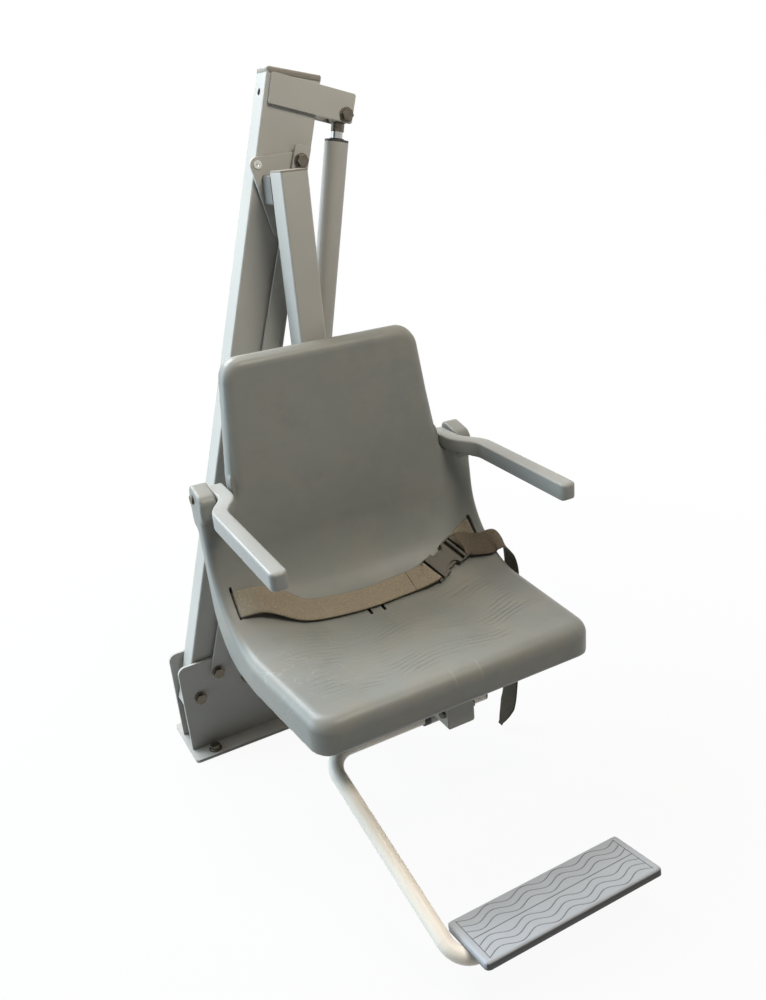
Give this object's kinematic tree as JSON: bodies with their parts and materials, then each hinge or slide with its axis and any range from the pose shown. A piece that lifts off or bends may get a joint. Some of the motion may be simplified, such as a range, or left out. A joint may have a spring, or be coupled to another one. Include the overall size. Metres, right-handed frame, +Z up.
{
  "type": "pool lift",
  "caption": "Deck-mounted pool lift: leaning parallelogram mast with side cylinder, hanging bucket seat, flip-up armrests, lap belt and swinging footrest.",
  "frame": {"origin": "centre of the four deck anchors, on the underside of the base plate", "axes": "+X to the right as seen by someone facing the seat's front, +Y from the seat's front to the mast at the back, +Z up"},
  "size_m": [0.6179, 0.9259, 1.3264],
  "materials": {
    "frame": "satin powder coat, warm grey",
    "hardware": "dulled steel",
    "rod": "polished",
    "dark": "satin",
    "bumper": "matt",
    "bush": "satin",
    "seat": "satin moulded",
    "armrest": "smooth moulded",
    "belt": "woven webbing",
    "buckle": "satin",
    "footrest": "satin moulded",
    "foot_tube": "satin powder coat, pale"
  },
  "bodies": {
    "base": {"base_plate": "frame", "front_ear": "frame", "rear_ear": "frame", "deck_anchors": "hardware", "pivot_bolts": "hardware", "pivot_nuts": "hardware", "stop_bumper": "bumper", "foot_pin_stubs": "hardware"},
    "mast": {"mast_tube": "frame", "mast_cap": "dark", "pivot_sleeve": "frame", "pivot_bushes": "bush", "hanger_sleeve": "frame", "hanger_bushes": "bush", "arm_front_plate": "frame", "arm_rear_plate": "frame", "arm_bolt": "hardware", "arm_nut": "hardware", "arm_spacers": "hardware"},
    "rod": {"rod_eye": "hardware", "piston_rod": "rod", "piston": "dark"},
    "barrel": {"barrel_tube": "frame", "barrel_gland": "dark", "rod_wiper": "bumper", "barrel_foot": "frame", "foot_bush": "bush"},
    "link": {"link_bar": "frame", "link_bushes": "bush"},
    "hanger": {"bracket_plate": "frame", "hanger_pin": "hardware", "hanger_nut": "hardware", "lock_bush": "bush", "link_top_bolt": "hardware", "standoff": "frame", "seat_post": "frame", "post_cap": "frame", "seat_arm": "frame", "arm_end_cap": "frame", "arm_cross_bolt": "hardware", "seat_rails": "frame", "rail_screws": "hardware", "seat_shell": "seat", "armrest_pins": "hardware", "belt_left": "belt", "belt_right": "belt", "belt_tail": "belt", "buckle_socket": "buckle", "buckle_tongue": "buckle", "footrest_sleeve": "frame"},
    "armrest_left": {"armrest_left": "armrest"},
    "armrest_right": {"armrest_right": "armrest"},
    "footrest": {"footrest_tube": "foot_tube", "footrest_plate": "footrest", "footrest_saddles": "frame", "footrest_screws": "hardware", "tube_plugs": "dark", "footrest_collars": "dark"}
  },
  "joints": [
    {"name": "mast_swing", "type": "hinge", "parent": "base", "child": "mast", "pos_m": [-0.125, 0, 0.12], "axis": [0, -1, 0], "range_deg": [0, 90]},
    {"name": "hanger_pivot", "type": "hinge", "parent": "mast", "child": "hanger", "pos_m": [0.17986, 0, 1.06117], "axis": [0, -1, 0], "range_deg": [-90, 0]},
    {"name": "link_swing", "type": "hinge", "parent": "base", "child": "link", "pos_m": [-0.082, 0, 0.169], "axis": [0, -1, 0], "range_deg": [0, 90]},
    {"name": "rod_pivot", "type": "hinge", "parent": "mast", "child": "rod", "pos_m": [0.32486, 0, 1.17852], "axis": [0, -1, 0], "range_deg": [-5.34, 0]},
    {"name": "barrel_slide", "type": "slide", "parent": "rod", "child": "barrel", "axis": [-0.2092, 0, -0.9779], "range_m": [0, 0.31723]},
    {"name": "armrest_left_hinge", "type": "hinge", "parent": "hanger", "child": "armrest_left", "pos_m": [0.17386, -0.153, 0.585], "axis": [-1, 0, 0], "range_deg": [0, 95]},
    {"name": "armrest_right_hinge", "type": "hinge", "parent": "hanger", "child": "armrest_right", "pos_m": [0.17386, -0.153, 0.585], "axis": [-1, 0, 0], "range_deg": [0, 95]},
    {"name": "footrest_hinge", "type": "hinge", "parent": "hanger", "child": "footrest", "pos_m": [0.17386, -0.475, 0.22024], "axis": [-1, 0, 0], "range_deg": [0, 40]}
  ],
  "couplings": [
    {"joint": "hanger_pivot", "follows": "mast_swing", "ratio": -1},
    {"joint": "link_swing", "follows": "mast_swing", "ratio": 1},
    {"joint": "rod_pivot", "follows": "mast_swing", "ratio": -0.059196},
    {"joint": "barrel_slide", "follows": "mast_swing", "m_per_rad": 0.20183}
  ]
}
